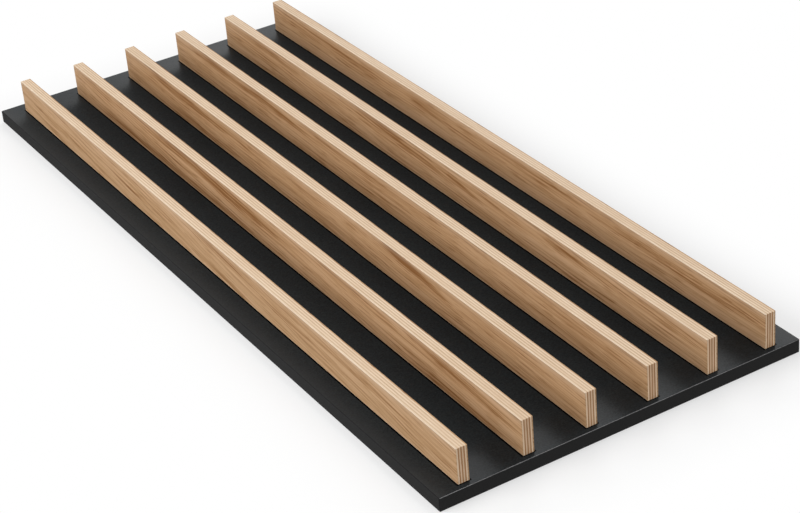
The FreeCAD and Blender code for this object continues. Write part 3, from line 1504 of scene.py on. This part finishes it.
@dataclass
class Studio:
    """Pale floor, white surround and soft lights.

    Attributes:
        floor_span: Half of the floor's width, in metres.
        floor_thickness: Thickness of the floor, in metres.
        floor_drop: Gap below the object, in metres.
        floor_white: Colour of the floor.
        floor_glow: Share of plain white in the floor close to the object.
        fade_start: How far from the object the floor starts to turn plain white, in metres.
        fade_end: How far from the object the floor is all plain white, in metres.
        surround: Strength of the surround as a light.
        lights: The soft lights.
    """

    floor_span: float = 14.0
    floor_thickness: float = 0.02
    floor_drop: float = 0.0003
    floor_white: Colour = (0.97, 0.97, 0.97, 1.0)
    floor_glow: float = 0.5
    fade_start: float = 0.005
    fade_end: float = 0.13
    surround: float = 0.40
    lights: tuple[SoftBox, ...] = (
        SoftBox("key_left", (-2.4, 0.0, 1.5), ZERO, width=2.0, height=1.6, radiance=4.25),
        SoftBox("front_fill", (0.2, -3.0, 0.7), (0.0, -0.5, 0.0), width=1.6, height=0.8, radiance=3.0),
        SoftBox("top_strip", (0.95, -0.75, 2.2), (0.0, -0.5, 0.0), width=1.0, height=0.5, radiance=2.6),
        SoftBox("rear_sheen", (2.0, 2.7, 2.2), ZERO, width=2.4, height=1.8, radiance=2.4),
    )

    def build(self, low: Vector, high: Vector) -> None:
        """Set the floor, the surround and the lights.

        Args:
            low: Lowest corner of the object.
            high: Highest corner of the object.
        """
        surface = low.z - self.floor_drop
        floor = Workpiece.block(
            "floor",
            Vector((-self.floor_span, -self.floor_span, surface - self.floor_thickness)),
            Vector((self.floor_span, self.floor_span, surface)),
        )
        floor.piece.data.materials.append(self.floor_finish(low, high))
        self.build_surround()
        for light in self.lights:
            light.build()
        LOG.info("studio: floor, surround and %d soft lights", len(self.lights))

    @staticmethod
    def seen(graph: NodeGraph) -> Socket:
        """Tell a ray that shows the background, straight, in gloss or through glass, from one that lights.

        Args:
            graph: Node tree of the floor or of the world.

        Returns:
            1 for a ray that shows the background, else 0.
        """
        path = graph.add("ShaderNodeLightPath")
        direct = graph.math("MAXIMUM", path.outputs["Is Camera Ray"], path.outputs["Is Glossy Ray"])
        return graph.math("MAXIMUM", direct, path.outputs["Is Transmission Ray"])

    def floor_finish(self, low: Vector, high: Vector) -> bpy.types.Material:
        """Make the floor, white to look at, which keeps the object's shadow near the object.

        Args:
            low: Lowest corner of the object.
            high: Highest corner of the object.

        Returns:
            The material.
        """
        graph = MaterialGraph("pale_floor")
        graph.tree.nodes.remove(graph.shader)
        spot = graph.place()
        aside = []
        for axis, half in (("X", (high.x - low.x) / 2.0), ("Y", (high.y - low.y) / 2.0)):
            beyond = graph.math("SUBTRACT", graph.reach(spot, axis), half)
            aside.append(graph.math("POWER", graph.math("MAXIMUM", beyond, 0.0), 2.0))
        distance = graph.math("SQRT", graph.total(*aside))
        glow = graph.span(distance, self.fade_start, self.fade_end, self.floor_glow, 1.0)
        paint = graph.add("ShaderNodeBsdfDiffuse")
        paint.inputs["Color"].default_value = self.floor_white
        white = graph.add("ShaderNodeEmission")
        graph.feed(white.inputs["Strength"], self.seen(graph))
        blend = graph.add("ShaderNodeMixShader")
        graph.feed(blend.inputs[0], glow)
        graph.feed(blend.inputs[1], paint.outputs[0])
        graph.feed(blend.inputs[2], white.outputs[0])
        graph.feed(graph.tree.nodes["Material Output"].inputs["Surface"], blend.outputs[0])
        return graph.material

    def build_surround(self) -> None:
        """Set the world, white to look at and dimmer as a light."""
        world = bpy.data.worlds.new("studio")
        world.use_nodes = True
        bpy.context.scene.world = world
        graph = NodeGraph(world.node_tree)
        extra = graph.math("MULTIPLY", self.seen(graph), 1.0 - self.surround)
        level = graph.total(extra, self.surround)
        background = world.node_tree.nodes["Background"]
        background.inputs["Color"].default_value = WHITE
        graph.feed(background.inputs["Strength"], level)


@dataclass(frozen=True)
class ViewCamera:
    """Camera at the photograph's place, angle and lens.

    Attributes:
        position: Where it stands, in metres.
        heading: Direction that it looks in, from +Y towards +X, in degrees.
        dip: How far it looks down, in degrees.
        roll: How far it is turned about its own axis, in degrees.
        lens: Focal length, in millimetres.
        sensor: Width of the sensor, in millimetres.
    """

    position: Point = (-1.1724, -2.2071, 1.4046)
    heading: float = 29.298
    dip: float = 30.340
    roll: float = -5.146
    lens: float = 97.219
    sensor: float = 36.0

    def build(self) -> None:
        """Set up the camera and make it the scene's own."""
        heading = math.radians(self.heading)
        dip = math.radians(self.dip)
        level_part = math.cos(dip)
        ahead = Vector((math.sin(heading) * level_part, math.cos(heading) * level_part, -math.sin(dip)))
        level = Vector((math.cos(heading), -math.sin(heading), 0.0))
        right = Matrix.Rotation(-math.radians(self.roll), 3, ahead) @ level
        up = right.cross(ahead)
        data = bpy.data.cameras.new("view_camera")
        data.sensor_fit = "HORIZONTAL"
        data.sensor_width = self.sensor
        data.lens = self.lens
        camera = bpy.data.objects.new("view_camera", data)
        turn = Matrix((right, up, -ahead)).transposed()
        camera.matrix_world = Matrix.Translation(self.position) @ turn.to_4x4()
        bpy.context.scene.collection.objects.link(camera)
        bpy.context.scene.camera = camera
        LOG.info("camera: right %s", tuple(round(part, 4) for part in right))


def main() -> None:
    """Build the panel and the studio round it."""
    logging.basicConfig(level=logging.INFO, format="%(name)s: %(message)s")
    bpy.context.scene.view_settings.view_transform = "Standard"
    holes = ScrewHoles()
    row = SlatRow()
    BackingBoard().build(holes, row.boxes())
    row.build(holes)
    SlatScrews().build()
    Studio().build(CAD_LOW, CAD_HIGH)
    ViewCamera().build()


if __name__ == "__main__":
    main()
